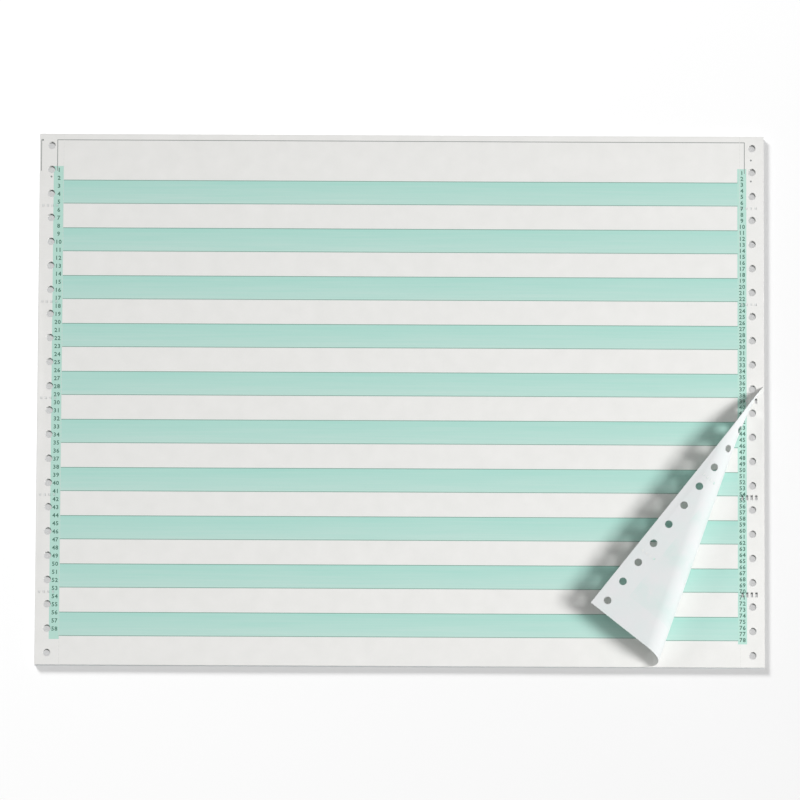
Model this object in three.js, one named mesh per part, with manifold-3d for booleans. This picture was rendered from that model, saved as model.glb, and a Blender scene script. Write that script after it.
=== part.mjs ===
// Fanfold continuous form paper: a short stack of two-ply computer forms, joined edge to edge and
// folded to and fro, with the lower right corner of the top sheet rolled over to the left.
// Millimetres, +Z up. X runs across the form and Y towards its head. The stack rests on Z = 0,
// with the middle of its underside at the origin.

import * as THREE from 'three';
import { mergeVertices } from 'three/addons/utils/BufferGeometryUtils.js';
import Module from 'manifold-3d';

// One form
const FORM_WIDTH = 377.8;       // across, from edge to edge of the two feed strips
const FORM_LENGTH = 279.4;      // from fold to fold
const PLY = 0.1;                // thickness of one sheet
const PLIES = 2;                // sheets in a form, crimped together along the feed strips

// The stack
const FORMS = 12;               // panels of the zigzag
const AIR = 0.1;                // between one form and the next, along the edges
const SLIT_DEPTH = 3.5;         // how far in from every edge the forms stand apart

// Feed holes, down both sides
const HOLE_DIAMETER = 3.97;
const HOLE_PITCH = 12.7;
const HOLE_INSET = 6.35;        // from the side edge to the middle of a hole

// Crimps, which hold the two sheets of a form together: rows of small slits between the holes
const CRIMP_FIRST = 38.1;       // from the head to the first
const CRIMP_PITCH = 50.8;
const CRIMP_INSET_LEFT = 5.8;   // from the side edge to the middle of a crimp
const CRIMP_INSET_RIGHT = 8;
const PRONGS = 4;
const PRONG_PITCH = 2.4;
const PRONG_WIDTH = 1;
const PRONG_LENGTH = 1.3;

// The rolled-over corner of the top sheet
const TURN_START = 131.8;       // from the head, down the right edge, to where the roll begins
const TURN_ANGLE = 70.8;        // degrees from X to the line of the roll
const ROLL_RADIUS = 8.5;
const ROLL_SET = 4.3;           // how far the roll's outer side moves in before it runs straight
const ROLL_OPENING = 12;        // the length in which the roll opens from nothing

// Facets
const HOLE_SIDES = 16;
const FOLD_STEPS = 2;           // quarter-turn steps of a fold's arcs
const ROLL_STEPS = 16;          // round the half turn of the roll
const FOOT_ROWS = 14;           // along the roll, from the foot edge to the corner
const BODY_ROWS = 5;            // from the corner to where the roll narrows
const TAPER_ROWS = 16;          // from there to its start
const TAPER_LENGTHS = 3;        // the narrowing stretch, in lengths of ROLL_OPENING
const ROOT = 2;                 // how far the rolled sheet is carried on inside the flat one
const CLEAR = 1;                // how far a cutter runs past what it cuts

const FORM_THICKNESS = PLY * PLIES;
const FORM_STEP = FORM_THICKNESS + AIR;
const STACK_HEIGHT = FORM_STEP * FORMS - AIR;
const HALF_WIDTH = FORM_WIDTH / 2;
const HALF_LENGTH = FORM_LENGTH / 2;

const wasm = await Module();
wasm.setup();

// A closed geometry as a solid: corners that meet are shared, and faces with no area are left out.
function toSolid(geometry) {
  geometry.deleteAttribute('normal');
  geometry.deleteAttribute('uv');
  const merged = mergeVertices(geometry);
  const corners = merged.getIndex().array;
  const faces = [];
  for (let i = 0; i < corners.length; i += 3) {
    const [a, b, c] = corners.slice(i, i + 3);
    if (a !== b && b !== c && c !== a) faces.push(a, b, c);
  }
  return new wasm.Manifold(new wasm.Mesh({
    numProp: 3,
    vertProperties: new Float32Array(merged.getAttribute('position').array),
    triVerts: new Uint32Array(faces),
  }));
}

function toMesh(solid, name, material) {
  const { vertProperties, triVerts } = solid.getMesh();
  const geometry = new THREE.BufferGeometry();
  geometry.setAttribute('position', new THREE.BufferAttribute(vertProperties, 3));
  geometry.setIndex(new THREE.BufferAttribute(triVerts, 1));
  geometry.computeVertexNormals();
  const mesh = new THREE.Mesh(geometry, material);
  mesh.name = name;
  return mesh;
}

// The zigzag of forms, seen from the side edge: y runs along the form and z up. One face of the
// paper is followed from the foot of the top form to the end of the lowest one, round the outside
// of the folds at the head and the inside of those at the foot, and the other face brings it back.
function zigzagProfile() {
  const outer = (FORM_STEP + FORM_THICKNESS) / 2;
  const inner = (FORM_STEP - FORM_THICKNESS) / 2;
  const foldAt = HALF_LENGTH - outer;
  const top = STACK_HEIGHT - FORM_THICKNESS / 2;
  const last = FORMS - 1;
  const up = Math.PI / 2;
  const lastEnd = last % 2 === 0 ? HALF_LENGTH : -HALF_LENGTH;
  const lastLevel = top - last * FORM_STEP;

  const shape = new THREE.Shape();
  shape.moveTo(-HALF_LENGTH, top - FORM_THICKNESS / 2);
  shape.lineTo(-HALF_LENGTH, top + FORM_THICKNESS / 2);
  for (let fold = 0; fold < last; fold += 1) {
    const level = top - (fold + 0.5) * FORM_STEP;
    const atHead = fold % 2 === 0;
    if (atHead) shape.absarc(foldAt, level, outer, up, -up, true);
    else shape.absarc(-foldAt, level, inner, up, 3 * up, false);
  }
  const side = last % 2 === 0 ? 1 : -1;
  shape.lineTo(lastEnd, lastLevel + side * FORM_THICKNESS / 2);
  shape.lineTo(lastEnd, lastLevel - side * FORM_THICKNESS / 2);
  for (let fold = last - 1; fold >= 0; fold -= 1) {
    const level = top - (fold + 0.5) * FORM_STEP;
    const atHead = fold % 2 === 0;
    if (atHead) shape.absarc(foldAt, level, inner, -up, up, false);
    else shape.absarc(-foldAt, level, outer, 3 * up, up, true);
  }
  return shape;
}

function zigzag() {
  const settings = { depth: FORM_WIDTH, bevelEnabled: false, curveSegments: FOLD_STEPS };
  const geometry = new THREE.ExtrudeGeometry(zigzagProfile(), settings);
  const axes = [new THREE.Vector3(0, 1, 0), new THREE.Vector3(0, 0, 1), new THREE.Vector3(1, 0, 0)];
  geometry.applyMatrix4(new THREE.Matrix4().makeBasis(...axes));
  geometry.translate(-HALF_WIDTH, 0, 0);
  return toSolid(geometry);
}

// Away from their edges the forms lie flat on each other, so there the stack is solid.
function pressedMiddle() {
  const width = FORM_WIDTH - 2 * SLIT_DEPTH;
  const length = FORM_LENGTH - 2 * SLIT_DEPTH;
  const height = STACK_HEIGHT - FORM_THICKNESS;
  const geometry = new THREE.BoxGeometry(width, length, height);
  geometry.translate(0, 0, STACK_HEIGHT / 2);
  return toSolid(geometry);
}

// Middles of the feed holes on the flat form: the first is half a pitch below the head.
function holePlaces() {
  const places = [];
  for (let y = HALF_LENGTH - HOLE_PITCH / 2; y > -HALF_LENGTH; y -= HOLE_PITCH) {
    for (const side of [-1, 1]) places.push(new THREE.Vector2(side * (HALF_WIDTH - HOLE_INSET), y));
  }
  return places;
}

// Middles of the crimps' slits on the flat form.
function prongPlaces() {
  const places = [];
  for (let y = HALF_LENGTH - CRIMP_FIRST; y > -HALF_LENGTH; y -= CRIMP_PITCH) {
    for (const middle of [CRIMP_INSET_LEFT - HALF_WIDTH, HALF_WIDTH - CRIMP_INSET_RIGHT]) {
      for (let i = 0; i < PRONGS; i += 1) {
        places.push(new THREE.Vector2(middle + (i - (PRONGS - 1) / 2) * PRONG_PITCH, y));
      }
    }
  }
  return places;
}

// What is punched out of a form, as upright cutters of one height with their places.
function punches(height) {
  const round = new THREE.CylinderGeometry(HOLE_DIAMETER / 2, HOLE_DIAMETER / 2, height, HOLE_SIDES);
  round.rotateX(Math.PI / 2);
  const slit = new THREE.BoxGeometry(PRONG_WIDTH, PRONG_LENGTH, height);
  return [
    ...holePlaces().map((place) => ({ place, cutter: round })),
    ...prongPlaces().map((place) => ({ place, cutter: slit })),
  ];
}

// The roll has its own two directions on the flat sheet: along its line, and across it towards
// the corner. A place on the sheet is then a distance along and a distance across.
const turn = THREE.MathUtils.degToRad(TURN_ANGLE);
const ALONG = new THREE.Vector2(Math.cos(turn), Math.sin(turn));
const ACROSS = new THREE.Vector2(Math.sin(turn), -Math.cos(turn));
const START = new THREE.Vector2(HALF_WIDTH, HALF_LENGTH - TURN_START);
const CORNER = new THREE.Vector2(HALF_WIDTH, -HALF_LENGTH);
const START_ALONG = START.dot(ALONG);
const ROLL_SIDE = START.dot(ACROSS) - ROLL_SET;     // the outer side where it runs straight

// How far the roll has opened, from 0 at its start to nearly 1 where it keeps its full radius.
function openedAt(along) {
  return 1 - Math.exp(-(START_ALONG - along) / ROLL_OPENING);
}

function radiusAt(along) {
  return ROLL_RADIUS * openedAt(along);
}

// Where the sheet leaves the stack, measured across.
function liftAt(along) {
  return ROLL_SIDE + ROLL_SET * (1 - openedAt(along)) - radiusAt(along);
}

// Where the flat sheet ends, measured across: at its foot edge or at its right edge.
function edgeAt(along) {
  const foot = (along * ALONG.y + HALF_LENGTH) / ALONG.x;
  const right = (HALF_WIDTH - along * ALONG.x) / ACROSS.x;
  return Math.min(foot, right);
}

function onForm(along, across, z) {
  return new THREE.Vector3(
    along * ALONG.x + across * ACROSS.x,
    along * ALONG.y + across * ACROSS.y,
    z,
  );
}

// The underside of the top sheet at a length past the line where it leaves the stack: flat before
// that line, then round the roll, then flat again and upside down. The normal points through the
// sheet to its printed face.
function rolled(along, past) {
  const radius = radiusAt(along);
  const angle = THREE.MathUtils.clamp(past / radius || 0, 0, Math.PI);
  const beyond = past < 0 ? past : Math.min(0, radius * Math.PI - past);
  const across = liftAt(along) + radius * Math.sin(angle) + beyond;
  const height = radius * (1 - Math.cos(angle));
  return {
    point: onForm(along, across, STACK_HEIGHT - PLY + height),
    normal: onForm(0, -Math.sin(angle), Math.cos(angle)),
  };
}

// Rows along the roll, closer where its edge climbs round it and where it narrows.
function rollRows() {
  const footAt = (across) => (across * ALONG.x - HALF_LENGTH) / ALONG.y;
  const foot = footAt(liftAt(footAt(ROLL_SIDE - ROLL_RADIUS)));
  const corner = CORNER.dot(ALONG);
  const narrows = Math.max(corner, START_ALONG - TAPER_LENGTHS * ROLL_OPENING);
  const rows = [];
  for (let i = 0; i < FOOT_ROWS; i += 1) {
    rows.push(THREE.MathUtils.lerp(foot, corner, (i / FOOT_ROWS) ** 1.5));
  }
  for (let i = 0; i < BODY_ROWS; i += 1) rows.push(THREE.MathUtils.lerp(corner, narrows, i / BODY_ROWS));
  for (let i = 0; i <= TAPER_ROWS; i += 1) {
    rows.push(THREE.MathUtils.lerp(START_ALONG, narrows, (1 - i / TAPER_ROWS) ** 1.5));
  }
  return rows;
}

// The sheet's section at one row, as a thin loop: out along its underside and back along its
// printed face.
function rollSection(along) {
  const end = Math.max(0, edgeAt(along) - liftAt(along));
  const lengths = [-ROOT];
  for (let i = 0; i <= ROLL_STEPS; i += 1) {
    lengths.push(Math.min(end, (radiusAt(along) * Math.PI * i) / ROLL_STEPS));
  }
  lengths.push(end);
  const places = lengths.map((past) => rolled(along, past));
  const under = places.map(({ point }) => point);
  const printed = places.map(({ point, normal }) => point.clone().addScaledVector(normal, PLY));
  return [...under, ...printed.reverse()];
}

// A solid through thin loops of equal length, closed at both ends across the loop.
function loft(loops) {
  const count = loops[0].length;
  const faces = [];
  const quad = (a, b, c, d) => faces.push(a, b, c, a, c, d);
  for (let row = 0; row + 1 < loops.length; row += 1) {
    for (let i = 0; i < count; i += 1) {
      const next = (i + 1) % count;
      const here = row * count;
      const there = here + count;
      quad(here + i, there + i, there + next, here + next);
    }
  }
  const lastRow = (loops.length - 1) * count;
  for (let i = 0; i + 1 < count / 2; i += 1) {
    const back = count - 1 - i;
    quad(i, i + 1, back - 1, back);
    quad(lastRow + i, lastRow + back, lastRow + back - 1, lastRow + i + 1);
  }
  const geometry = new THREE.BufferGeometry().setFromPoints(loops.flat());
  geometry.setIndex(faces);
  return toSolid(geometry);
}

// A place on the rolled sheet as a frame: across the form, up the form and out of its printed face.
function seat(place) {
  const step = PLY;
  const at = (x, y) => {
    const moved = new THREE.Vector2(x, y).add(place);
    const along = moved.dot(ALONG);
    return rolled(along, moved.dot(ACROSS) - liftAt(along)).point;
  };
  const middle = at(0, 0);
  const across = at(step, 0).sub(middle).normalize();
  const out = across.clone().cross(at(0, step).sub(middle)).normalize();
  const up = out.clone().cross(across);
  return new THREE.Matrix4().makeBasis(across, up, out).setPosition(middle);
}

// The rolled part of the top sheet, with its holes and slits cut square to it.
function rolledSheet() {
  let sheet = loft(rollRows().map(rollSection));
  for (const { place, cutter } of punches(2 * CLEAR)) {
    if (place.dot(ALONG) >= START_ALONG - HOLE_DIAMETER / 2) continue;
    sheet = sheet.subtract(toSolid(cutter.clone().applyMatrix4(seat(place))));
  }
  return sheet;
}

// What the rolled sheet leaves open: its own thickness, from the line where it lifts to the
// corner, which shows the second sheet of the form.
function bareCorner() {
  const outline = rollRows().map((along) => onForm(along, liftAt(along), 0));
  const shape = new THREE.Shape(outline.map(({ x, y }) => new THREE.Vector2(x, y)));
  shape.lineTo(START.x + CLEAR, START.y);
  shape.lineTo(CORNER.x + CLEAR, CORNER.y - CLEAR);
  shape.lineTo(outline[0].x, CORNER.y - CLEAR);
  const geometry = new THREE.ExtrudeGeometry(shape, { depth: PLY + CLEAR, bevelEnabled: false });
  geometry.translate(0, 0, STACK_HEIGHT - PLY);
  return toSolid(geometry);
}

function foldedStack() {
  let stack = zigzag().add(pressedMiddle());
  for (const { place, cutter } of punches(STACK_HEIGHT + 2 * CLEAR)) {
    stack = stack.subtract(toSolid(cutter.clone().translate(place.x, place.y, STACK_HEIGHT / 2)));
  }
  return stack.subtract(bareCorner()).add(rolledSheet());
}

const paper = new THREE.MeshStandardMaterial({ color: 0xe9ece9, roughness: 0.85, metalness: 0 });

const form = new THREE.Group();
form.add(toMesh(foldedStack(), 'fanfold_paper', paper));

export default form;
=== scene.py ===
# %% [markdown]
# # Fanfold continuous form paper
# The object is a short stack of wide computer forms. Each form has two sheets, and the forms hang
# together as two endless webs of paper, one per sheet, folded to and fro. The lower right corner of
# the top sheet is rolled over to the left, so its back shows, and the second sheet under it.
# The stack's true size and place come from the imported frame, which is loaded first and never moved.

import math
import random

import bpy
from mathutils import Matrix, Vector
from mathutils.geometry import delaunay_2d_cdt


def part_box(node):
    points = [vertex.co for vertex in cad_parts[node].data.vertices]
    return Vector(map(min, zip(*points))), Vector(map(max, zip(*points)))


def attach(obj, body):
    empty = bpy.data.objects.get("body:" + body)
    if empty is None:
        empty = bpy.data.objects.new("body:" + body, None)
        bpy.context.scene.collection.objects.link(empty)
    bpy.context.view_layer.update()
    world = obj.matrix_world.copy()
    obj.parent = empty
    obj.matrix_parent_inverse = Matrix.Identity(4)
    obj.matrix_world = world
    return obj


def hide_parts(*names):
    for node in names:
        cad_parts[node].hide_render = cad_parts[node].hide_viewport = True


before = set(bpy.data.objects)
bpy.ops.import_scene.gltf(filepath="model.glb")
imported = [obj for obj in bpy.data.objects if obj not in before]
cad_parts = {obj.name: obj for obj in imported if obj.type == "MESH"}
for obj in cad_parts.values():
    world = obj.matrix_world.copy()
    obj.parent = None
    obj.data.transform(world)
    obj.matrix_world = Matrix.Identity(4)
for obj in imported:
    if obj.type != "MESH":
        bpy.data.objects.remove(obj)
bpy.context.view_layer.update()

# %% [markdown]
# The sizes below are in millimetres, as a forms printer gives them. X runs across the form and Y
# towards its head. The width and length come from the frame's box, so the paper can't drift from
# the solid that it replaces. Real sheets never lie edge on edge, so each one is cut a little
# narrower than the box, and a seeded shift per form then lets the edges and holes wander.

# %% Sizes of the paper
MM = 0.001
NODE = "fanfold_paper"
low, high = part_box(NODE)
FORM_WIDTH = (high.x - low.x) / MM
FORM_LENGTH = (high.y - low.y) / MM
HALF_LENGTH = FORM_LENGTH / 2
PLY = 0.1             # thickness of one sheet
FORMS = 12            # panels of the zigzag
PLIES = 2             # sheets in a form
STACK_HEIGHT = 3.5
PLY_STEP = (STACK_HEIGHT - PLY) / (FORMS * PLIES - 1)
PLAY = 0.25           # cut off each side of a sheet
HALF_SHEET = FORM_WIDTH / 2 - PLAY
print(f"form {FORM_WIDTH:.1f} x {FORM_LENGTH:.1f} mm, {FORMS * PLIES} sheets {PLY_STEP:.3f} mm apart")

# %% [markdown]
# Pins of the printer's drive reach into round feed holes down both sides, half an inch apart. Rows
# of four small prongs between the holes hold the two sheets of a form together, and a line of fine
# cuts with ties between them lets one form be torn from the next.

# %% Sizes of the holes, crimps and perforations
HOLE_RADIUS = 3.97 / 2
HOLE_PITCH = 12.7
HOLE_X = FORM_WIDTH / 2 - 6.35
CRIMP_FIRST = 38.1
CRIMP_PITCH = 50.8
CRIMP_X = (5.8 - FORM_WIDTH / 2, FORM_WIDTH / 2 - 8.0)
PRONGS = 4
PRONG_PITCH = 2.4
PRONG_WIDTH = 1.0
PRONG_LENGTH = 1.3
TORN_WIDTH = 1.4      # of a slot whose prong was pulled out
TORN_LENGTH = 2.6
TIE_PITCH = 25.4 / 12
TIE_WIDTH = 0.5
TIE_LENGTH = 0.15
print(f"holes {2 * HOLE_RADIUS:.2f} mm wide, {HOLE_PITCH} mm apart, ties {TIE_PITCH:.3f} mm apart")

# %% [markdown]
# The rolled corner follows one law. The roll has two directions of its own on the flat sheet: along
# its line, and across it towards the corner. It opens from nothing at the right edge: its radius
# soon keeps its full size, and its outer side moves in a little before it runs straight. A flap of
# real paper also sags towards its free corner. A place past the line where the sheet lifts goes
# round the roll by its own arc length, and past half a turn it runs back flat, upside down. The
# same law in the solid and here keeps the two together.

# %% The law of the rolled corner
TURN_START = 131.8
TURN_ANGLE = math.radians(70.8)
ROLL_RADIUS = 8.5
ROLL_SET = 4.3        # how far its outer side moves in before it runs straight
ROLL_OPENING = 12.0   # the length in which it opens from nothing
SAG = 0.012           # fall of the flap for every millimetre past the roll
ALONG = Vector((math.cos(TURN_ANGLE), math.sin(TURN_ANGLE)))
ACROSS = Vector((math.sin(TURN_ANGLE), -math.cos(TURN_ANGLE)))
START = Vector((FORM_WIDTH / 2, HALF_LENGTH - TURN_START))
START_ALONG = START.dot(ALONG)
ROLL_SIDE = START.dot(ACROSS) - ROLL_SET


def opened(along):
    return 1 - math.exp(-max(START_ALONG - along, 0) / ROLL_OPENING)


def roll_radius(along):
    return ROLL_RADIUS * opened(along)


def lift_line(along):
    return ROLL_SIDE + ROLL_SET * (1 - opened(along)) - roll_radius(along)


def past_lift(x, y):
    """How far a place on the flat sheet lies past the line where the sheet lifts, and its row."""
    place = Vector((x, y))
    along = place.dot(ALONG)
    return place.dot(ACROSS) - lift_line(along), along


print("the roll starts", TURN_START, "mm below the head and leaves the foot at about",
      round(ROLL_SIDE / ACROSS.x - HALF_LENGTH * ALONG.x / ACROSS.x, 1), "mm from the middle")

# %% [markdown]
# Every sheet is first drawn flat, as a die would cut it, and triangulated with Blender's constrained
# Delaunay routine. It takes the outline, the holes and any fold lines as edges that must survive,
# so a hole stays round wherever the sheet bends. Triangles whose middle falls in a cut-out are
# dropped. A grid of quads would need far more faces to hold the same holes.

# %% Triangulate a flat sheet
SNAP = 1e-5           # places nearer than this are one


def ring(x, y, radius, sides):
    turns = [2 * math.pi * i / sides for i in range(sides)]
    return [(x + radius * math.cos(turn), y + radius * math.sin(turn)) for turn in turns]


def oblong(x, y, width, length):
    w, h = width / 2, length / 2
    return [(x - w, y - h), (x + w, y - h), (x + w, y + h), (x - w, y + h)]


def holds(corners, x, y):
    """Whether a convex outline, anticlockwise, has the place inside it."""
    for (ax, ay), (bx, by) in zip(corners, corners[1:] + corners[:1]):
        if (bx - ax) * (y - ay) - (by - ay) * (x - ax) < 0:
            return False
    return True


def cut_sheet(outline, cut_outs, lines=(), points=()):
    """Places and triangles of a flat sheet, with what is cut out left open."""
    places, edges = list(points), []
    loops = [(outline, True)]
    loops += [(corners, True) for corners in cut_outs]
    loops += [(corners, False) for corners in lines]
    for corners, closed in loops:
        first = len(places)
        places += corners
        edges += [(first + i, first + i + 1) for i in range(len(corners) - 1)]
        if closed:
            edges.append((len(places) - 1, first))
    found, _, faces, *_ = delaunay_2d_cdt([Vector(p) for p in places], edges, [], 0, SNAP)
    spans = []
    for corners in cut_outs:
        xs, ys = zip(*corners)
        spans.append((min(xs), max(xs), min(ys), max(ys), corners))
    kept = []
    for face in faces:
        x = sum(found[i].x for i in face) / len(face)
        y = sum(found[i].y for i in face) / len(face)
        near = [c for x0, x1, y0, y1, c in spans if x0 < x < x1 and y0 < y < y1]
        if holds(outline, x, y) and not any(holds(c, x, y) for c in near):
            kept.append(tuple(face))
    used = sorted({i for face in kept for i in face})
    number = {old: new for new, old in enumerate(used)}
    return [tuple(found[i]) for i in used], [tuple(number[i] for i in face) for face in kept]


# %% [markdown]
# Three patterns are enough for all twenty-four sheets. The plain one has feed holes and crimps, and
# close rows at both ends, where it bends round a fold. The torn one ends in the little ties that a
# torn perforation leaves. The rolled one is the torn one with rows that follow the roll. Holes lie
# the same way from both ends, so a form that is folded upside down uses the same pattern. Where the
# corner was pulled back, the slots of the sheets below it are torn larger.

# %% Holes, crimps and torn ties
FOLD_BAND = 0.35      # the strip that bends round a fold
FOLD_ROWS = 4
SIDE_STEPS = 36


def hole_places():
    count = round(FORM_LENGTH / HOLE_PITCH)
    heights = [HALF_LENGTH - HOLE_PITCH * (i + 0.5) for i in range(count)]
    return [(side * HOLE_X, y) for y in heights for side in (-1, 1)]


def crimp_places():
    count = 1 + round((FORM_LENGTH - 2 * CRIMP_FIRST) / CRIMP_PITCH)
    return [(x, HALF_LENGTH - CRIMP_FIRST - CRIMP_PITCH * i) for i in range(count) for x in CRIMP_X]


def prong_places():
    steps = [(i - (PRONGS - 1) / 2) * PRONG_PITCH for i in range(PRONGS)]
    return [(x + step, y) for x, y in crimp_places() for step in steps]


def punched(sides, torn=(PRONG_WIDTH, PRONG_LENGTH)):
    """Holes and slots. The slots that came undone at the rolled corner can be given a torn size."""
    cuts = [ring(x, y, HOLE_RADIUS, sides) for x, y in hole_places()]
    for x, y in prong_places():
        undone = past_lift(x, y)[0] > 0
        cuts.append(oblong(x, y, *(torn if undone else (PRONG_WIDTH, PRONG_LENGTH))))
    return cuts


def torn_gaps():
    """What is missing between the ties along the foot."""
    count = int(2 * HALF_SHEET / TIE_PITCH)
    start = -count * TIE_PITCH / 2
    middles = [start + (i + 0.5) * TIE_PITCH for i in range(count)]
    y = -HALF_LENGTH + TIE_LENGTH / 2
    return [oblong(x, y, TIE_PITCH - TIE_WIDTH, TIE_LENGTH) for x in middles]


OUTLINE = oblong(0, 0, 2 * HALF_SHEET, FORM_LENGTH)
SIDE_XS = [HALF_SHEET * (2 * i / SIDE_STEPS - 1) for i in range(SIDE_STEPS + 1)]
END_ROWS = [[(x, side * (HALF_LENGTH - FOLD_BAND * row / FOLD_ROWS)) for x in SIDE_XS]
            for side in (-1, 1) for row in range(FOLD_ROWS + 1)]
HEAD_ROWS = [row for row in END_ROWS if row[0][1] > 0]
print(len(hole_places()), "feed holes,", len(prong_places()), "crimp prongs,", len(torn_gaps()), "gaps")

# %% [markdown]
# The rolled pattern needs close lines along the roll, more of them near its start, where it is
# tightest. Long thin triangles would reach from there into the flat part and pull its edge in, so a
# few places on the edge and just above the roll keep the flat part flat.

# %% Patterns of the sheets
PLAIN_SIDES, TORN_SIDES, ROLLED_SIDES = 16, 28, 32
ROLL_STEPS = 24
ROLL_ROWS = 64
ROLL_REACH = 190.0
ROLL_CROWDING = 1.4   # above 1, the rows lie closer near the start
ROW_CLEAR = 0.4       # of the extra row above the start
EDGE_STEPS = (0.3, 1, 2, 4, 7, 12, 20, 35, 60, 90)
GRID = 9.0


def roll_lines():
    """Lines of equal angle round the roll, from its start to past the foot."""
    lengths = [ROLL_REACH * (i / ROLL_ROWS) ** ROLL_CROWDING for i in range(ROLL_ROWS + 1)]
    lines = []
    for step in range(ROLL_STEPS + 1):
        line = []
        for length in lengths:
            along = START_ALONG - length
            across = lift_line(along) + roll_radius(along) * math.pi * step / ROLL_STEPS
            line.append(tuple(along * ALONG + across * ACROSS))
        lines.append(line)
    return lines


def inner_points():
    """A loose grid for the sheets whose gentle waves show."""
    across = round(2 * HOLE_X / GRID)
    down = round(FORM_LENGTH / GRID)
    clear = HOLE_X - 2 * HOLE_RADIUS
    xs = [clear * (2 * i / across - 1) for i in range(across + 1)]
    ys = [(HALF_LENGTH - 1) * (2 * i / down - 1) for i in range(down + 1)]
    return [(x, y) for x in xs for y in ys]


def grid_clear_of_roll():
    far = ROLL_RADIUS * math.pi + 1
    return [p for p in inner_points() if past_lift(*p)[0] < -1 or past_lift(*p)[0] > far]


def edge_by_roll():
    """The outline, with places on its right edge above the start of the roll."""
    left_foot, right_foot, right_head, left_head = OUTLINE
    above = [(HALF_SHEET, START.y + step) for step in EDGE_STEPS]
    return [left_foot, right_foot, *above, right_head, left_head]


def row_by_roll():
    """Places just above the start of the roll, from the right edge inwards."""
    along = (START_ALONG + ROW_CLEAR) * ALONG
    return [tuple(along + (START.dot(ACROSS) - step) * ACROSS) for step in EDGE_STEPS[1:]]


torn_slot = (TORN_WIDTH, TORN_LENGTH)
plain_pattern = cut_sheet(OUTLINE, punched(PLAIN_SIDES, torn_slot), END_ROWS)
torn_pattern = cut_sheet(
    OUTLINE,
    punched(TORN_SIDES, torn_slot) + torn_gaps(),
    HEAD_ROWS,
    inner_points(),
)
rolled_pattern = cut_sheet(
    edge_by_roll(),
    punched(ROLLED_SIDES) + torn_gaps(),
    HEAD_ROWS + roll_lines(),
    grid_clear_of_roll() + row_by_roll(),
)
for title, pattern in (("plain", plain_pattern), ("torn", torn_pattern), ("rolled", rolled_pattern)):
    print(title, "pattern:", len(pattern[0]), "places,", len(pattern[1]), "triangles")

# %% [markdown]
# Now each sheet gets its place in the stack. A level counts sheets from the top. The two webs swap
# order with every fold, so at one fold a web runs round the outside and at the next inside the
# other web. Loose forms also lift a little, the upper ones more than the lower ones, so sheets
# never pass through each other.

# %% Where a sheet lies in the stack
LIFT = 0.35                     # the most that a loose sheet rises
SHIFT = 0.2                     # the most that a form lies off its place
INSET = 0.3                     # the most that a fold stays back from the box
SWAY_X, SWAY_Y = 61, 47         # how slowly the long waves turn, across and down
RIPPLE_X, RIPPLE_Y = 29, 37     # and the shorter ones
CALM_FROM, CALM_OVER = 4, 30    # where they die out before the roll
rng = random.Random(11)
form_shift = [(0.0, 0.0)]
for _ in range(FORMS - 1):
    form_shift.append((rng.uniform(-SHIFT, SHIFT), rng.uniform(-SHIFT, SHIFT)))
fold_inset = [rng.uniform(INSET / 6, INSET) for _ in range(FORMS)]
FOLD_REACH = 1.5 * PLY_STEP + PLY / 2
LAST_HOLE = HALF_LENGTH - HOLE_PITCH / 2 + HOLE_RADIUS


def level_of(form, web):
    return PLIES * form + (web if form % 2 == 0 else 1 - web)


def wave(x, y):
    """From 0 to 1, the long slow undulation of paper that has been handled. It dies out at the roll."""
    sway = math.sin(x / SWAY_X + 0.8) * math.sin(y / SWAY_Y + 2.1)
    ripple = 0.5 * math.sin(x / RIPPLE_X - y / RIPPLE_Y)
    calm = max(0.0, min(1.0, -(past_lift(x, y)[0] + CALM_FROM) / CALM_OVER))
    return (0.5 + (sway + ripple) / 3) * calm


def sheet_z(level, x, y):
    looseness = (1 - level / (FORMS * PLIES)) ** 2
    return STACK_HEIGHT - PLY / 2 - level * PLY_STEP + LIFT * looseness * wave(x, y)


def partner(form, side):
    """The form that this one is folded to at its end towards +Y or -Y, or None where it is free."""
    other = form + side if form % 2 == 0 else form - side
    return other if 0 <= other < FORMS else None


def settle(form, y):
    """A height on the flat pattern as a height in the stack. Only past the last hole does it give."""
    side = 1 if y > 0 else -1
    shift = form_shift[form][1]
    if abs(y) <= LAST_HOLE:
        return y + shift
    other = partner(form, side)
    straight = HALF_LENGTH - FOLD_BAND
    start = side * LAST_HOLE + shift
    run = min((abs(y) - LAST_HOLE) / (straight - LAST_HOLE), 1)
    if other is None:
        return start + (side * straight - start) * run + side * max(0, abs(y) - straight)
    crease = HALF_LENGTH - FOLD_REACH - fold_inset[min(form, other)]
    return start + (side * crease - start) * run


print("largest shift of a form:", round(max(abs(v) for shift in form_shift for v in shift), 3), "mm")

# %% [markdown]
# A fold could be a separate strip between two flat sheets, but a web is one piece of paper. So each
# form bends through its own quarter turn at either end, and meets its neighbour halfway round. The
# side that is printed up changes from form to form.

# %% Bend a sheet into the stack
def folded(form, web):
    """A function from the flat pattern, and a depth from the back to the printed face, to metres."""
    level = level_of(form, web)
    printed_up = 1 if form % 2 == 0 else -1

    def place(x, y, depth):
        side = 1 if y > 0 else -1
        other = partner(form, side)
        shift = form_shift[form][0]
        bend = 0 if other is None else max(0.0, 1 - (HALF_LENGTH - abs(y)) / FOLD_BAND)
        z = sheet_z(level, x, y)
        off = depth - PLY / 2
        if bend == 0:
            return Vector((x + shift, settle(form, y), z + printed_up * off)) * MM
        shift += (form_shift[other][0] - shift) * bend / 2
        other_z = sheet_z(level_of(other, web), x, y)
        radius = abs(z - other_z) / 2
        angle = bend * math.pi / 2
        if z < other_z:
            angle = math.pi - angle
        reach = radius + side * off
        crease = settle(form, side * (HALF_LENGTH - FOLD_BAND))
        return Vector((
            x + shift,
            crease + side * reach * math.sin(angle),
            (z + other_z) / 2 + reach * math.cos(angle),
        )) * MM

    return place


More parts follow.
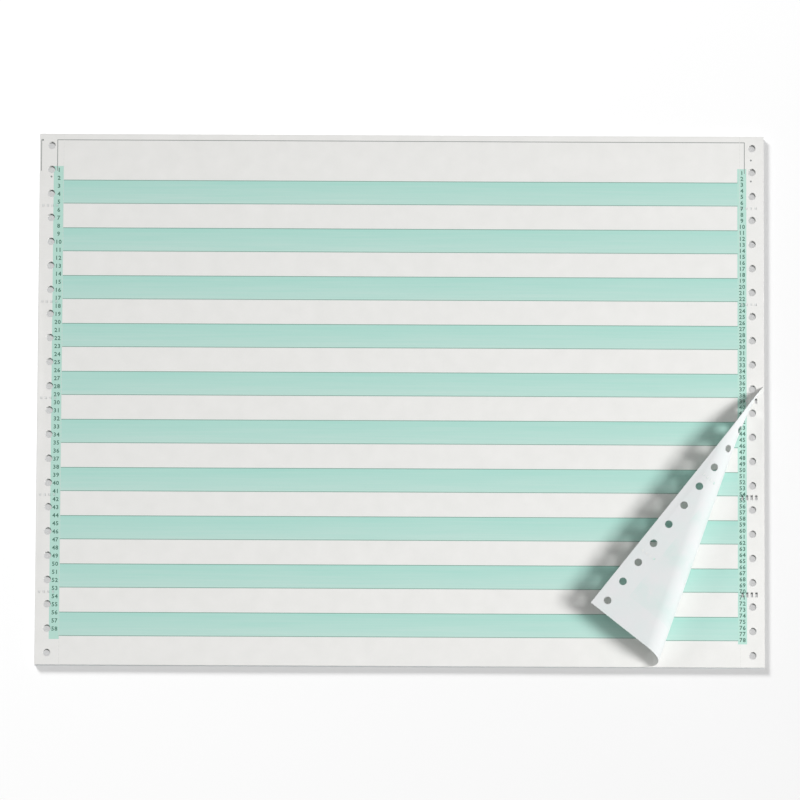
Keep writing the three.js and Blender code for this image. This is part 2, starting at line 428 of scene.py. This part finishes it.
# %% [markdown]
# The top sheet is placed the same way up to the line where it lifts, and past it by the roll's law.
# Seen from above, its back is the outside of the roll.

# %% Roll the top sheet
def rolled(x, y, depth):
    past, along = past_lift(x, y)
    if past <= 0 or along >= START_ALONG:
        return folded(0, 0)(x, y, depth)
    radius = roll_radius(along)
    angle = min(past / radius, math.pi)
    beyond = max(0.0, past - radius * math.pi)
    inner = radius - depth
    across = lift_line(along) + inner * math.sin(angle) - beyond
    flat = along * ALONG + across * ACROSS
    z = STACK_HEIGHT - PLY + radius - inner * math.cos(angle) - SAG * beyond
    return Vector((flat.x, flat.y, z)) * MM


print("top of the roll:", round(rolled(160, -130, 0).z / MM, 2), "mm, frame:", round(high.z / MM, 2), "mm")

# %% [markdown]
# A sheet of paper is thin but it is no surface: a light that grazes its edge needs a wall there. So
# each flat triangle becomes one on the printed face and one on the back, and every open edge gets a
# wall. Two attributes on the face corners tell the material where it is on the form and which side
# it is on. The first holds the millimetres across, those down from the head, and how much lower this
# web is printed. The corners hold them, not the points, because at a fold one point belongs to the
# foot of one form and to the head of the next.

# %% Give a flat pattern thickness
AT_END = 1e-3                       # a place this near the end is on the fold
SHARP_EDGE = math.radians(40)       # a crease steeper than this stays sharp


class Paper:
    """Points, faces and corner values of one web, grown sheet by sheet.

    The register is how much lower its print lies, in millimetres.
    """

    def __init__(self, register=0.0):
        self.register = register
        self.points = []
        self.faces = []
        self.spots = []
        self.sides = []
        self.seam = {}

    def face(self, corners, spots, side):
        self.faces.append(corners)
        self.spots += spots
        self.sides += [side] * len(corners)

    def sheet(self, pattern, place, upright=True, sewn=(None, None), depths=(0, PLY)):
        """Adds a sheet. sewn gives the ends (-1 or 1) joined to the sheet before and the one after."""
        places, triangles = pattern
        before, after = sewn
        back, front = [], []
        seam = {}
        for x, y in places:
            end = (1 if y > 0 else -1) if abs(abs(y) - HALF_LENGTH) < AT_END else 0
            key = round(x, 3)
            if end and end == before and key in self.seam:
                pair = self.seam[key]
            else:
                pair = (len(self.points), len(self.points) + 1)
                self.points += [place(x, y, depths[0]), place(x, y, depths[1])]
            if end and end == after:
                seam[key] = pair
            back.append(pair[0])
            front.append(pair[1])
        self.seam = seam
        heading = 1 if upright else -1
        spots = [(x, HALF_LENGTH - heading * y, self.register) for x, y in places]
        seen = {(a, b) for t in triangles for a, b in zip(t, t[1:] + t[:1])}
        for triangle in triangles:
            loop = triangle if upright else triangle[::-1]
            self.face([front[i] for i in loop], [spots[i] for i in loop], 1.0)
            self.face([back[i] for i in loop[::-1]], [spots[i] for i in loop[::-1]], 0.0)
            for a, b in zip(triangle, triangle[1:] + triangle[:1]):
                heights = (places[a][1], places[b][1])
                joined = any(end and all(abs(y - end * HALF_LENGTH) < AT_END for y in heights)
                             for end in (before, after))
                if (b, a) in seen or joined:
                    continue
                wall = [back[a], back[b], front[b], front[a]]
                marks = [spots[a], spots[b], spots[b], spots[a]]
                if not upright:
                    wall, marks = wall[::-1], marks[::-1]
                self.face(wall, marks, 0.5)

    def make(self, name):
        mesh = bpy.data.meshes.new(name)
        mesh.from_pydata(self.points, [], self.faces)
        spots = mesh.attributes.new("form_place", "FLOAT_VECTOR", "CORNER")
        spots.data.foreach_set("vector", [v for spot in self.spots for v in spot])
        sides = mesh.attributes.new("side", "FLOAT", "CORNER")
        sides.data.foreach_set("value", self.sides)
        mesh.polygons.foreach_set("use_smooth", [True] * len(mesh.polygons))
        mesh.set_sharp_from_angle(angle=SHARP_EDGE)
        piece = bpy.data.objects.new(name, mesh)
        bpy.context.scene.collection.objects.link(piece)
        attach(piece, "root")
        print(f"{name}: {len(self.points)} points, {len(self.faces)} faces")
        return piece


# %% [markdown]
# The crimps that hold the two sheets of a form together are little tongues, cut on three sides and
# pushed down through the sheet below. On the closed forms they hardly show. Where the corner was
# pulled back they came undone: the second sheet has open slots there, and the tongues of the top
# sheet stand a little proud of its back.

# %% Tongues of the crimps
TONGUE_SHUT = math.radians(12)      # how far a tongue drops where the crimp holds
TONGUE_BACK = math.radians(6)       # on the rolled corner, where it came undone
TONGUE_OPEN = math.radians(80)      # and on the sheet below it
TONGUE_GAP = 0.08
TONGUE_STEPS = 3


def add_tongue(paper, place, x, y, drop):
    """Adds one tongue: a strip with four sides, hinged at its slot's side towards the head."""
    half = PRONG_WIDTH / 2 - TONGUE_GAP
    hinge = y + PRONG_LENGTH / 2
    rings = []
    for step in range(TONGUE_STEPS + 1):
        reach = (PRONG_LENGTH - TONGUE_GAP) * step / TONGUE_STEPS
        row = hinge - reach * math.cos(drop)
        fall = -reach * math.sin(drop)
        corners = [(x - half, 0), (x + half, 0), (x + half, PLY), (x - half, PLY)]
        first = len(paper.points)
        paper.points += [place(px, row, fall + depth) for px, depth in corners]
        rings.append([first + i for i in range(4)])
    spot = (x, HALF_LENGTH - y, 0.0)
    for lower, upper in zip(rings, rings[1:]):
        for i in range(4):
            j = (i + 1) % 4
            paper.face([lower[i], upper[i], upper[j], lower[j]], [spot] * 4, 0.5)
    paper.face(rings[0], [spot] * 4, 0.5)
    paper.face(rings[-1][::-1], [spot] * 4, 0.5)


# %% [markdown]
# Each web runs through the stack form by form. Where it turns over at a fold, the points of the two
# sheets are shared, so it stays one skin. The two webs were printed apart, and the second one's bars
# lie a little lower, which shows beside the roll.

# %% Make the two webs
REGISTER = 1.15       # how much lower the second web is printed


def make_web(web, top_pattern, top_place, register=0.0):
    paper = Paper(register)
    for form in range(FORMS):
        if form == 0:
            pattern, place = top_pattern, top_place
        else:
            pattern, place = plain_pattern, folded(form, web)
        ends = [side for side in (1, -1) if partner(form, side) is not None]
        before = next((side for side in ends if partner(form, side) == form - 1), None)
        after = next((side for side in ends if partner(form, side) == form + 1), None)
        paper.sheet(pattern, place, upright=form % 2 == 0, sewn=(before, after))
    return paper


upper_paper = make_web(0, rolled_pattern, rolled)
lower_paper = make_web(1, torn_pattern, folded(0, 1), REGISTER)
for x, y in prong_places():
    undone = past_lift(x, y)[0] > 0
    add_tongue(upper_paper, rolled, x, y, TONGUE_BACK if undone else TONGUE_SHUT)
    add_tongue(lower_paper, folded(0, 1), x, y, TONGUE_OPEN if undone else TONGUE_SHUT)
upper_web = upper_paper.make("upper_web")
lower_web = lower_paper.make("lower_web")
for web in (upper_web, lower_web):
    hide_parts(NODE)

# %% [markdown]
# Down each side runs a narrow column of line numbers, so that an operator can find a line: six to
# the inch on the left and eight to the inch on the right. Ink has a body, so the digits are thin
# shapes laid on the paper with the same function that placed the sheet. They bend with the roll,
# and stay sharp at any distance. Blender's own font gives the digits.

# %% Flat shapes of the digits
DIGIT_SIZE = 3.0
DIGIT_SPACE = 1.7
DIGIT_WEIGHT = 0.075  # how much the strokes are thickened
LEAST_AREA = 1e-9     # a smaller triangle is dropped


def digit_pattern(text):
    """One digit as a flat pattern, its middle at the origin."""
    curve = bpy.data.curves.new("digit", "FONT")
    curve.body = text
    curve.size = DIGIT_SIZE
    curve.offset = DIGIT_WEIGHT
    curve.resolution_u = 2
    shape = bpy.data.objects.new("digit", curve)
    bpy.context.scene.collection.objects.link(shape)
    bpy.context.view_layer.update()
    mesh = bpy.data.meshes.new_from_object(shape.evaluated_get(bpy.context.evaluated_depsgraph_get()))
    mesh.calc_loop_triangles()
    points = [(round(v.co.x, 5), round(v.co.y, 5)) for v in mesh.vertices]
    places = sorted(set(points))
    number = {place: i for i, place in enumerate(places)}
    faces = set()
    for triangle in mesh.loop_triangles:
        a, b, c = [number[points[i]] for i in triangle.vertices]
        (ax, ay), (bx, by), (cx, cy) = places[a], places[b], places[c]
        turn = (bx - ax) * (cy - ay) - (by - ay) * (cx - ax)
        if abs(turn) > LEAST_AREA:
            loop = (a, b, c) if turn > 0 else (a, c, b)
            turned = loop.index(min(loop))
            faces.add(loop[turned:] + loop[:turned])
    bpy.data.objects.remove(shape)
    bpy.data.curves.remove(curve)
    bpy.data.meshes.remove(mesh)
    middle = [(min(v) + max(v)) / 2 for v in zip(*places)]
    return [(x - middle[0], y - middle[1]) for x, y in places], sorted(faces)


digits = {text: digit_pattern(text) for text in "0123456789"}
print("digit triangles:", {text: len(pattern[1]) for text, pattern in digits.items()})

# %% [markdown]
# The numbers are laid one by one down both columns. On the second sheet only those past the line
# where the corner lifts are made, since the rest never show.

# %% Lay the line numbers on the two top sheets
INK_GAP = 0.006       # between the sheet and the ink, so that their skins stay apart
INK_BODY = 0.012      # thickness of the ink
NUMBERS_FIRST = 19.3
NUMBERS_LAST = 264.0
NUMBER_COLUMNS = ((-178.6, 25.4 / 6), (177.4, 25.4 / 8))


def add_numbers(paper, place, covered, register=0.0):
    """Adds the numbers that are on this sheet, or, on the second sheet, those that show."""
    count = 0
    for middle, pitch in NUMBER_COLUMNS:
        for line in range(int((NUMBERS_LAST - NUMBERS_FIRST) / pitch) + 1):
            text = str(line + 1)
            y = HALF_LENGTH - NUMBERS_FIRST - line * pitch - register
            if covered and past_lift(middle, y)[0] < 0:
                continue
            for i, letter in enumerate(text):
                x = middle + (i - (len(text) - 1) / 2) * DIGIT_SPACE
                places, faces = digits[letter]
                moved = [(px + x, py + y) for px, py in places]
                paper.sheet((moved, faces), place, depths=(PLY + INK_GAP, PLY + INK_GAP + INK_BODY))
            count += 1
    return count


number_ink = Paper()
print("numbers on the top sheet:", add_numbers(number_ink, rolled, False))
print("numbers on the second sheet:", add_numbers(number_ink, folded(0, 1), True, REGISTER))
line_numbers = number_ink.make("line_numbers")

# %% [markdown]
# The printing on the form is worked out from what every face corner carries: how far across and how
# far down it is, and how much lower its web was printed. A node group turns them into masks: the
# pale bars, the hairlines round them, the bands under the line numbers, and the rule round the
# heading. A second group gives the paper's mottle and the height of its fibres, and a third gives
# the perforations. The ink and the paper both use the fibres. Groups put out only masks and heights,
# and each material mixes its own colours.

# %% Helpers for node groups
def node_group(name, inputs, outputs):
    group = bpy.data.node_groups.new(name, "ShaderNodeTree")
    for label, kind in inputs:
        group.interface.new_socket(name=label, in_out="INPUT", socket_type=kind)
    for label, kind in outputs:
        group.interface.new_socket(name=label, in_out="OUTPUT", socket_type=kind)
    return group, group.nodes.new("NodeGroupInput"), group.nodes.new("NodeGroupOutput")


def feed(tree, socket, value):
    """Sets a socket, or links it when the value is another node's output."""
    if isinstance(value, bpy.types.NodeSocket):
        tree.links.new(value, socket)
    else:
        socket.default_value = value


def maths(tree, operation, *values):
    node = tree.nodes.new("ShaderNodeMath")
    node.operation = operation
    for socket, value in zip(node.inputs, values):
        feed(tree, socket, value)
    return node.outputs[0]


def within(tree, value, start, end):
    """A mask that is 1 where the value lies between start and end."""
    above = maths(tree, "GREATER_THAN", value, start)
    below = maths(tree, "LESS_THAN", value, end)
    return maths(tree, "MULTIPLY", above, below)


def mask(tree, *spans):
    """A mask that is 1 where every one of the values lies between its start and its end."""
    inside = [within(tree, *span) for span in spans]
    shared = inside[0]
    for other in inside[1:]:
        shared = maths(tree, "MULTIPLY", shared, other)
    return shared


def noise(tree, place, scale, detail, stretch=(1, 1, 1)):
    mapping = tree.nodes.new("ShaderNodeMapping")
    mapping.inputs["Scale"].default_value = stretch
    tree.links.new(place, mapping.inputs["Vector"])
    texture = tree.nodes.new("ShaderNodeTexNoise")
    texture.inputs["Detail"].default_value = detail
    feed(tree, texture.inputs["Scale"], scale)
    tree.links.new(mapping.outputs[0], texture.inputs["Vector"])
    return texture.outputs[0]


# %% [markdown]
# A picture of the form would blur close up. A repeating count down the form gives every bar at once:
# the distance down is wrapped at the pitch of the bars, and what lies within a bar's height is in
# one. The same count, as a wave, gives the soft cloud that a bar makes through the sheet.

# %% The printed form as masks
BAR_FIRST = 24.5
BAR_PITCH = 25.25
BAR_HEIGHT = 12.6
BARS = 10
BAR_LEFT, BAR_RIGHT = -176.3, 175.2
HAIRLINE = 0.38
RULE_LEFT, RULE_RIGHT = -179.7, 178.9
RULE_TOP, RULE_FOOT = 3.1, 19.8
BAND_LEFT = (-181.4, -176.2)
BAND_RIGHT = (175.0, 179.7)
BAND_TOP, BAND_FOOT = 17.3, 266.0
# a thin dark line just inside the sheet's left edge, down the heading; the last dot sits at its top end
LEFT_EDGE_LINE = -188.1
DOTS = ((182.1, 12.7), (182.1, 23.8), (-182.6, 22.9), (-187.2, 3.4))
DOT_RADIUS = 0.5
BAR_FOOT = BAR_FIRST + BAR_PITCH * (BARS - 1) + BAR_HEIGHT

print_group, given, out = node_group(
    "form_print",
    [("Place", "NodeSocketVector")],
    [(label, "NodeSocketFloat") for label in ("Bars", "Hairlines", "Bands", "Rules", "Down bar", "Ghost")],
)
tree = print_group
split = tree.nodes.new("ShaderNodeSeparateXYZ")
tree.links.new(given.outputs["Place"], split.inputs[0])
across_mm = split.outputs[0]
down_mm = maths(tree, "SUBTRACT", split.outputs[1], split.outputs[2])
in_bar = maths(tree, "WRAP", maths(tree, "SUBTRACT", down_mm, BAR_FIRST), BAR_PITCH, 0.0)
field = mask(tree, (across_mm, BAR_LEFT, BAR_RIGHT), (down_mm, BAR_FIRST, BAR_FOOT))
bars = maths(tree, "MULTIPLY", field, maths(tree, "LESS_THAN", in_bar, BAR_HEIGHT))
inner = within(tree, in_bar, HAIRLINE, BAR_HEIGHT - HAIRLINE)
hairlines = maths(tree, "MULTIPLY", bars, maths(tree, "SUBTRACT", 1.0, inner))
from_middle = maths(tree, "SUBTRACT", in_bar, BAR_HEIGHT / 2)
turns = maths(tree, "MULTIPLY", from_middle, 2 * math.pi / BAR_PITCH)
soft_bar = maths(tree, "MULTIPLY_ADD", maths(tree, "COSINE", turns), 0.5, 0.5)
tree.links.new(bars, out.inputs["Bars"])
tree.links.new(hairlines, out.inputs["Hairlines"])
tree.links.new(maths(tree, "DIVIDE", in_bar, BAR_HEIGHT), out.inputs["Down bar"])
tree.links.new(maths(tree, "MULTIPLY", field, soft_bar), out.inputs["Ghost"])
print("bars: first", BAR_FIRST, "last ends", round(BAR_FOOT, 2), "mm below the head")

# %% [markdown]
# The bands, the ruled lines, the dark line just inside the left edge and the small dots are oblongs
# and rounds of the same two distances. Where two of the thin marks cross, the larger mask counts, so
# that no mark is drawn twice.

# %% Bands, rules and dots
numbered = (down_mm, BAND_TOP, BAND_FOOT)
bands = maths(tree, "ADD", mask(tree, (across_mm, *BAND_LEFT), numbered),
              mask(tree, (across_mm, *BAND_RIGHT), numbered))
tree.links.new(bands, out.inputs["Bands"])


def dot(tree, x, y):
    far_x = maths(tree, "SUBTRACT", across_mm, x)
    far_y = maths(tree, "SUBTRACT", down_mm, y)
    squares = maths(tree, "MULTIPLY_ADD", far_x, far_x, maths(tree, "MULTIPLY", far_y, far_y))
    return maths(tree, "LESS_THAN", squares, DOT_RADIUS ** 2)


marks = [mask(tree, (across_mm, x, x + HAIRLINE), (down_mm, RULE_TOP, RULE_FOOT))
         for x in (LEFT_EDGE_LINE, RULE_LEFT, RULE_RIGHT - HAIRLINE)]
marks += [dot(tree, x, y) for x, y in DOTS]
rules = mask(tree, (across_mm, RULE_LEFT, RULE_RIGHT), (down_mm, RULE_TOP, RULE_TOP + HAIRLINE))
for mark in marks:
    rules = maths(tree, "MAXIMUM", rules, mark)
tree.links.new(rules, out.inputs["Rules"])
print(len(marks) + 1, "rules and dots,", len(print_group.nodes), "nodes in the form's print")

# %% [markdown]
# Form paper is uncoated, so its fibres lie bare: it has a faint cloudy mottle and a fine tooth. Noise
# at two scales makes the mottle, noise drawn out far across the form makes the streaks of the press,
# and a finer one, drawn out a little the same way as the fibres lie, makes the tooth.

# %% Fibres and mottle of the paper
CLOUD_SCALE = 0.11
CLOUD_SHARE = 0.7
STREAK_STRETCH = (0.02, 0.9, 1)
STRAND_STRETCH = (1.0, 2.4, 1.0)

fibre_group, given, out = node_group(
    "paper_fibre",
    [("Place", "NodeSocketVector"), ("Grain", "NodeSocketFloat")],
    [("Mottle", "NodeSocketFloat"), ("Streaks", "NodeSocketFloat"), ("Height", "NodeSocketFloat")],
)
tree = fibre_group
place_mm, grain = given.outputs["Place"], given.outputs["Grain"]
cloudy = maths(tree, "MULTIPLY", noise(tree, place_mm, CLOUD_SCALE, 3.0), CLOUD_SHARE)
fine = maths(tree, "MULTIPLY", noise(tree, place_mm, grain, 2.0), 1 - CLOUD_SHARE)
streaks = noise(tree, place_mm, 1.0, 2.0, STREAK_STRETCH)
strands = noise(tree, place_mm, grain, 3.0, STRAND_STRETCH)
tree.links.new(maths(tree, "ADD", cloudy, fine), out.inputs["Mottle"])
tree.links.new(streaks, out.inputs["Streaks"])
tree.links.new(strands, out.inputs["Height"])
print("paper_fibre:", [socket.name for socket in out.inputs if socket.name])

# %% [markdown]
# Fine cuts run down inside both feed strips and along every fold. They are too fine to cut out of the
# sheet, so a mask draws them: the paper is dented there, and the slits are painted a little darker,
# as painted shade.

# %% Perforations
MARGIN_X = 176.2      # from the middle of the form to the cuts beside a feed strip
PERFORATION = 0.16    # width of a cut

perforation_group, given, out = node_group(
    "perforation",
    [("Place", "NodeSocketVector")],
    [("Cuts", "NodeSocketFloat")],
)
tree = perforation_group
split = tree.nodes.new("ShaderNodeSeparateXYZ")
tree.links.new(given.outputs["Place"], split.inputs[0])
across, down = split.outputs[0], split.outputs[1]


def dashes(tree, along, off_line):
    """Short cuts along a line: on for a pitch less its tie, and thin across."""
    phase = maths(tree, "WRAP", along, TIE_PITCH, 0.0)
    cut = maths(tree, "LESS_THAN", phase, TIE_PITCH - TIE_WIDTH)
    return maths(tree, "MULTIPLY", cut, maths(tree, "LESS_THAN", off_line, PERFORATION / 2))


from_axis = maths(tree, "ABSOLUTE", across)
from_margin = maths(tree, "ABSOLUTE", maths(tree, "SUBTRACT", from_axis, MARGIN_X))
from_middle = maths(tree, "ABSOLUTE", maths(tree, "SUBTRACT", down, HALF_LENGTH))
from_fold = maths(tree, "SUBTRACT", HALF_LENGTH, from_middle)
cuts = maths(tree, "MAXIMUM", dashes(tree, down, from_margin), dashes(tree, across, from_fold))
tree.links.new(cuts, out.inputs["Cuts"])
print("groups:", [group.name for group in bpy.data.node_groups])

# %% [markdown]
# Uncoated paper is matt and nearly white. The bars are a thin green tint, a little weaker towards
# their lower edge and streaky along their length, with a darker hairline along both long edges. The
# back has a cool cast and shows the bars as soft clouds, because the sheet is thin. It is also painted
# darker than the face, as painted shade, so that the roll, which faces the key lamp, isn't washed out.
# The material is one Principled shader, whose colour is mixed step by step with the masks.

# %% Colours
def shade(red, green, blue):
    """A colour as a screen shows it, from 0 to 255, in Blender's linear values."""
    values = [v / 255 for v in (red, green, blue)]
    return [v / 12.92 if v <= 0.04045 else ((v + 0.055) / 1.055) ** 2.4 for v in values] + [1.0]


WHITE = shade(243, 242, 240)
WHITE_LOW = shade(230, 230, 227)
BAR = shade(166, 218, 206)
BAR_PALE = shade(197, 225, 217)
HAIR = shade(132, 168, 156)
BAND = shade(186, 224, 212)
RULE = shade(146, 150, 148)
# painted shade of the perforation slits
CUT_SHADE = shade(222, 222, 219)
INK = shade(54, 98, 84)
INK_PALE = shade(80, 122, 106)
# painted shade: the back is darker than the face, so the roll facing the key lamp isn't washed out; its
# cool cast is the sheet's own
BACK_SHADED = shade(225, 225, 226)
BACK_CLOUD_SHADED = shade(219, 226, 225)
print("12 tints, white paper at", [round(v, 3) for v in WHITE[:3]])


def mixed(tree, share, first, second):
    node = tree.nodes.new("ShaderNodeMix")
    node.data_type = "RGBA"
    for label, value in (("Factor", share), ("A", first), ("B", second)):
        socket = next(s for s in node.inputs if s.name == label and s.enabled)
        feed(tree, socket, value)
    return next(s for s in node.outputs if s.enabled)


def placed(tree, group):
    node = tree.nodes.new("ShaderNodeGroup")
    node.node_tree = group
    return node


def attribute(tree, name):
    node = tree.nodes.new("ShaderNodeAttribute")
    node.attribute_name = name
    return node


def new_material(name):
    material = bpy.data.materials.new(name)
    material.use_nodes = True
    return material, material.node_tree, material.node_tree.nodes["Principled BSDF"]


def bump(tree, shader, height, strength, distance):
    node = tree.nodes.new("ShaderNodeBump")
    node.inputs["Strength"].default_value = strength
    node.inputs["Distance"].default_value = distance
    tree.links.new(height, node.inputs["Height"])
    tree.links.new(node.outputs[0], shader.inputs["Normal"])


# %% [markdown]
# The paper's colour is built in the order of the press: the stock, the tint of the bars, the bands,
# the hairlines and the rules. Then the side attribute picks the printed face or the back.

# %% Printed form paper
PAPER_GRAIN = 2.2
FADE, STREAKING, FADE_FROM = 0.5, 0.7, 0.1    # how a bar pales downwards, and in streaks
CLOUD_GAIN, CLOUD_OFFSET = 2.4, -0.7          # what makes clouds of the mottle
SHOW_THROUGH = 0.26                           # how strongly the bars show on the back

paper_look, tree, shader = new_material("printed_paper")
spot = attribute(tree, "form_place").outputs["Vector"]
side = attribute(tree, "side").outputs["Fac"]
form = placed(tree, print_group)
fibre = placed(tree, fibre_group)
holes = placed(tree, perforation_group)
for node in (form, fibre, holes):
    tree.links.new(spot, node.inputs["Place"])
fibre.inputs["Grain"].default_value = PAPER_GRAIN

stock = mixed(tree, fibre.outputs["Mottle"], WHITE_LOW, WHITE)
streaky = maths(tree, "MULTIPLY", fibre.outputs["Streaks"], STREAKING)
weaker = maths(tree, "MULTIPLY_ADD", form.outputs["Down bar"], FADE, streaky)
tint = mixed(tree, maths(tree, "SUBTRACT", weaker, FADE_FROM), BAR, BAR_PALE)
face = mixed(tree, form.outputs["Bars"], stock, tint)
face = mixed(tree, form.outputs["Bands"], face, BAND)
face = mixed(tree, form.outputs["Hairlines"], face, HAIR)
face = mixed(tree, form.outputs["Rules"], face, RULE)
clouds = maths(tree, "MULTIPLY_ADD", fibre.outputs["Mottle"], CLOUD_GAIN, CLOUD_OFFSET)
clouds = maths(tree, "MINIMUM", maths(tree, "MAXIMUM", clouds, 0.0), 1.0)
ghost = maths(tree, "MULTIPLY", form.outputs["Ghost"], maths(tree, "MULTIPLY", clouds, SHOW_THROUGH))
# the back's darker colours are painted shade; the bars show through it as soft clouds
back = mixed(tree, ghost, mixed(tree, clouds, BACK_SHADED, BACK_CLOUD_SHADED), BAR)
printed = mixed(tree, side, back, face)
# The perforation cuts dent the printed face, and are painted a little darker there as painted shade of the
# slits.
cut_dents_and_shade = maths(tree, "MULTIPLY", holes.outputs["Cuts"], side)
tree.links.new(mixed(tree, cut_dents_and_shade, printed, CUT_SHADE), shader.inputs["Base Color"])
relief = maths(tree, "SUBTRACT", fibre.outputs["Height"], cut_dents_and_shade)
bump(tree, shader, relief, strength=0.25, distance=0.04 * MM)
shader.inputs["Roughness"].default_value = 0.82
shader.inputs["Specular IOR Level"].default_value = 0.3
for web in (upper_web, lower_web):
    web.data.materials.append(paper_look)

# %% [markdown]
# The numbers are printed in a darker green of the same ink. It sinks into the fibres unevenly, so its
# colour follows the paper's mottle, and its skin is a little smoother than the paper's.

# %% Ink of the line numbers
INK_GRAIN = 3.0

ink_look, tree, shader = new_material("green_ink")
fibre = placed(tree, fibre_group)
tree.links.new(attribute(tree, "form_place").outputs["Vector"], fibre.inputs["Place"])
fibre.inputs["Grain"].default_value = INK_GRAIN
tree.links.new(mixed(tree, fibre.outputs["Mottle"], INK, INK_PALE), shader.inputs["Base Color"])
bump(tree, shader, fibre.outputs["Height"], strength=0.2, distance=0.02 * MM)
shader.inputs["Roughness"].default_value = 0.6
line_numbers.data.materials.append(ink_look)
print("materials:", [material.name for material in bpy.data.materials])

# %% [markdown]
# The camera looks down on the stack from the foot side, a long way off with a long lens, so the
# form's sides run almost parallel. It is leaned about nine degrees from straight down and turned a
# quarter of a degree.

# %% Camera
CAMERA_DISTANCE = 4.5
CAMERA_LEAN = math.radians(9.08)
CAMERA_TURN = math.radians(0.261)
CAMERA_LENS = 389.9
SENSOR_WIDTH = 36
AIM = Vector((-0.34, -0.32, STACK_HEIGHT)) * MM

look = Vector((0, math.sin(CAMERA_LEAN), -math.cos(CAMERA_LEAN)))
right = Vector((1, 0, 0))
up = right.cross(look)
turned_right = math.cos(CAMERA_TURN) * right + math.sin(CAMERA_TURN) * up
turned_up = math.cos(CAMERA_TURN) * up - math.sin(CAMERA_TURN) * right
camera_data = bpy.data.cameras.new("camera")
camera_data.lens = CAMERA_LENS
camera_data.sensor_width = SENSOR_WIDTH
camera = bpy.data.objects.new("camera", camera_data)
pose = Matrix((turned_right, turned_up, -look)).transposed().to_4x4()
pose.translation = AIM - CAMERA_DISTANCE * look
camera.matrix_world = pose
bpy.context.scene.collection.objects.link(camera)
bpy.context.scene.camera = camera
print("camera at", [round(v, 3) for v in pose.translation])

# %% [markdown]
# The light is that of a small studio: a white dome, a soft key lamp from the right that throws the
# flap's shadow to the left, a small lamp high up that deepens it close under the flap, and a weak
# fill from the left. The stack's own narrow shadow on the table falls the other way, to the right
# and below. So these lamps light only paper and ink, and the table has a lamp of its own, which only
# the flat second web stands in the way of. Blender calls that light linking. A lamp's level is the
# share of plain white light that it adds where it is aimed, and its power follows from its distance
# and height.

# %% A lamp by its level
def collected(name, pieces):
    chosen = bpy.data.collections.new(name)
    for piece in pieces:
        chosen.objects.link(piece)
    return chosen


def lamp(name, azimuth, elevation, distance, size, level, aim=(0, 0), lit=(), blocked_by=()):
    """A square lamp aimed at a place on the stack. Azimuth 0 is from +X, 90 from +Y."""
    turn, rise = math.radians(azimuth), math.radians(elevation)
    data = bpy.data.lights.new(name, "AREA")
    data.size = size
    data.energy = level * math.pi ** 2 * distance ** 2 / math.sin(rise)
    light = bpy.data.objects.new(name, data)
    toward = Vector((math.cos(turn) * math.cos(rise), math.sin(turn) * math.cos(rise), math.sin(rise)))
    light.location = Vector((*aim, 0)) + toward * distance
    light.rotation_euler = toward.to_track_quat("Z", "Y").to_euler()
    bpy.context.scene.collection.objects.link(light)
    if lit:
        light.light_linking.receiver_collection = collected(name + "_lights", lit)
    if blocked_by:
        light.light_linking.blocker_collection = collected(name + "_is_blocked_by", blocked_by)
    print(f"{name}: {data.energy:.1f} W, lights {[piece.name for piece in lit] or 'everything'}")


# %% Table and lamps
TABLE_SIZE = 6.0
table_mesh = bpy.data.meshes.new("table")
table_corners = [(x, y, 0) for x, y in oblong(0, 0, TABLE_SIZE, TABLE_SIZE)]
table_mesh.from_pydata(table_corners, [], [(0, 1, 2, 3)])
table = bpy.data.objects.new("table", table_mesh)
bpy.context.scene.collection.objects.link(table)

paper_and_ink = (upper_web, lower_web, line_numbers)
lamp("key", -9, 45, 3.0, 0.9, 0.645, aim=(0.0, -0.14), lit=paper_and_ink)
lamp("top_light", 10, 68, 0.9, 0.5, 0.11, aim=(-0.12, -0.25), lit=paper_and_ink)
lamp("fill", 165, 35, 1.8, 0.6, 0.12, aim=(0, -0.05), lit=paper_and_ink)
lamp("table_lamp", 128, 37, 4.0, 1.1, 0.96, lit=(table,), blocked_by=(lower_web,))

# %% [markdown]
# The dome's light on the paper is weak, but what the camera sees behind everything is plain white.
# The Light Path node tells the two apart. Rays that come by a mirror or through glass see white too.

# %% World
DOME = 0.12           # the dome's level on the paper


def clear_view(tree):
    """1 for rays from the camera, straight, mirrored or through glass, and 0 for the others."""
    rays = tree.nodes.new("ShaderNodeLightPath")
    straight = maths(tree, "MAXIMUM", rays.outputs["Is Camera Ray"], rays.outputs["Is Transmission Ray"])
    return maths(tree, "MAXIMUM", straight, rays.outputs["Is Glossy Ray"])


world = bpy.data.worlds.new("studio")
bpy.context.scene.world = world
world.use_nodes = True
tree = world.node_tree
sky = tree.nodes["Background"]
sky.inputs["Color"].default_value = (1, 1, 1, 1)
brighter = maths(tree, "MULTIPLY", clear_view(tree), 1 - DOME)
tree.links.new(maths(tree, "ADD", DOME, brighter), sky.inputs["Strength"])
print("dome:", DOME, "on the paper, 1 as a background")

# %% [markdown]
# The table is plain white. Part of what the camera sees of it is a plain white glow, so it reads as
# paper-white background, and the rest is ordinary shading that carries the soft shadow.

# %% Finish of the table
GLOW = 0.53           # the part of the table's light that is plain white

table_look, tree, shader = new_material("table_white")
shader.inputs["Base Color"].default_value = shade(246, 246, 246)
shader.inputs["Roughness"].default_value = 0.9
shader.inputs["Specular IOR Level"].default_value = 0.1
glow = tree.nodes.new("ShaderNodeEmission")
blend = tree.nodes.new("ShaderNodeMixShader")
tree.links.new(maths(tree, "MULTIPLY", clear_view(tree), GLOW), blend.inputs[0])
tree.links.new(shader.outputs[0], blend.inputs[1])
tree.links.new(glow.outputs[0], blend.inputs[2])
tree.links.new(blend.outputs[0], tree.nodes["Material Output"].inputs["Surface"])
table_mesh.materials.append(table_look)

# %% [markdown]
# Last, the view is left plain, so a colour shows as it is written.

# %% Finish
bpy.context.scene.view_settings.view_transform = "Standard"
